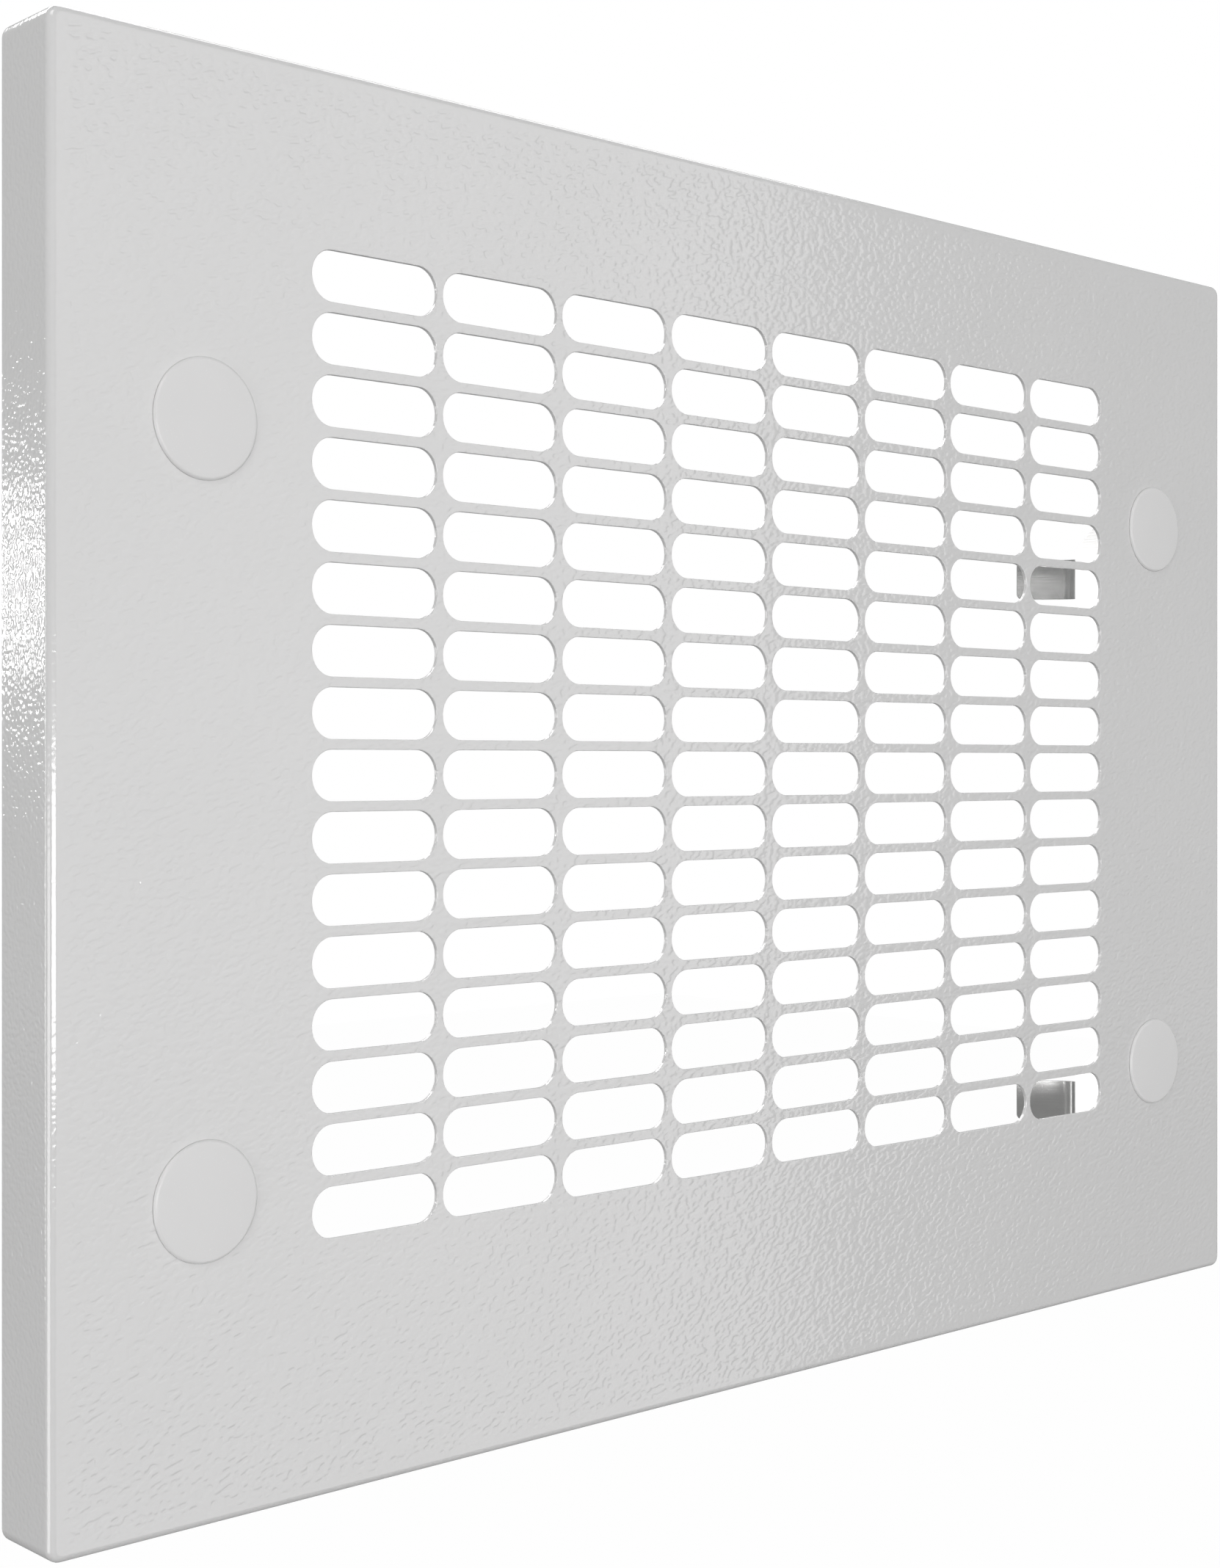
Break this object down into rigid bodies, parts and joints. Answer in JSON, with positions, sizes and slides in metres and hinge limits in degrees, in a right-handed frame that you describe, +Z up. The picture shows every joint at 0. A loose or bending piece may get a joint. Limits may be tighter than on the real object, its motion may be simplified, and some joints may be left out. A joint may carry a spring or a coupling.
{
  "type": "ventilation grille",
  "caption": "Flat ventilation grille: a folded sheet-metal tray with rows of round-ended slots, smooth round cover caps near its corners and stepped retaining clips behind them.",
  "frame": {"origin": "centre of the plane in which the tray's rear rim meets the wall", "axes": "+X to the right seen from the front, +Y into the wall, +Z up"},
  "size_m": [0.407, 0.0367, 0.3],
  "materials": {
    "panel_coat": "leather-textured powder coat, satin",
    "cap_plastic": "smooth satin",
    "clip_steel": "bright rolled sheet",
    "fastener_zinc": "bright zinc plate"
  },
  "bodies": {
    "root": {"grille_panel": "panel_coat", "cap_upper_left": "cap_plastic", "clip_upper_left": "clip_steel", "stud_upper_left": "fastener_zinc", "washer_upper_left": "fastener_zinc", "nut_upper_left": "fastener_zinc", "cap_upper_right": "cap_plastic", "clip_upper_right": "clip_steel", "stud_upper_right": "fastener_zinc", "washer_upper_right": "fastener_zinc", "nut_upper_right": "fastener_zinc", "cap_lower_left": "cap_plastic", "clip_lower_left": "clip_steel", "stud_lower_left": "fastener_zinc", "washer_lower_left": "fastener_zinc", "nut_lower_left": "fastener_zinc", "cap_lower_right": "cap_plastic", "clip_lower_right": "clip_steel", "stud_lower_right": "fastener_zinc", "washer_lower_right": "fastener_zinc", "nut_lower_right": "fastener_zinc"}
  },
  "joints": []
}
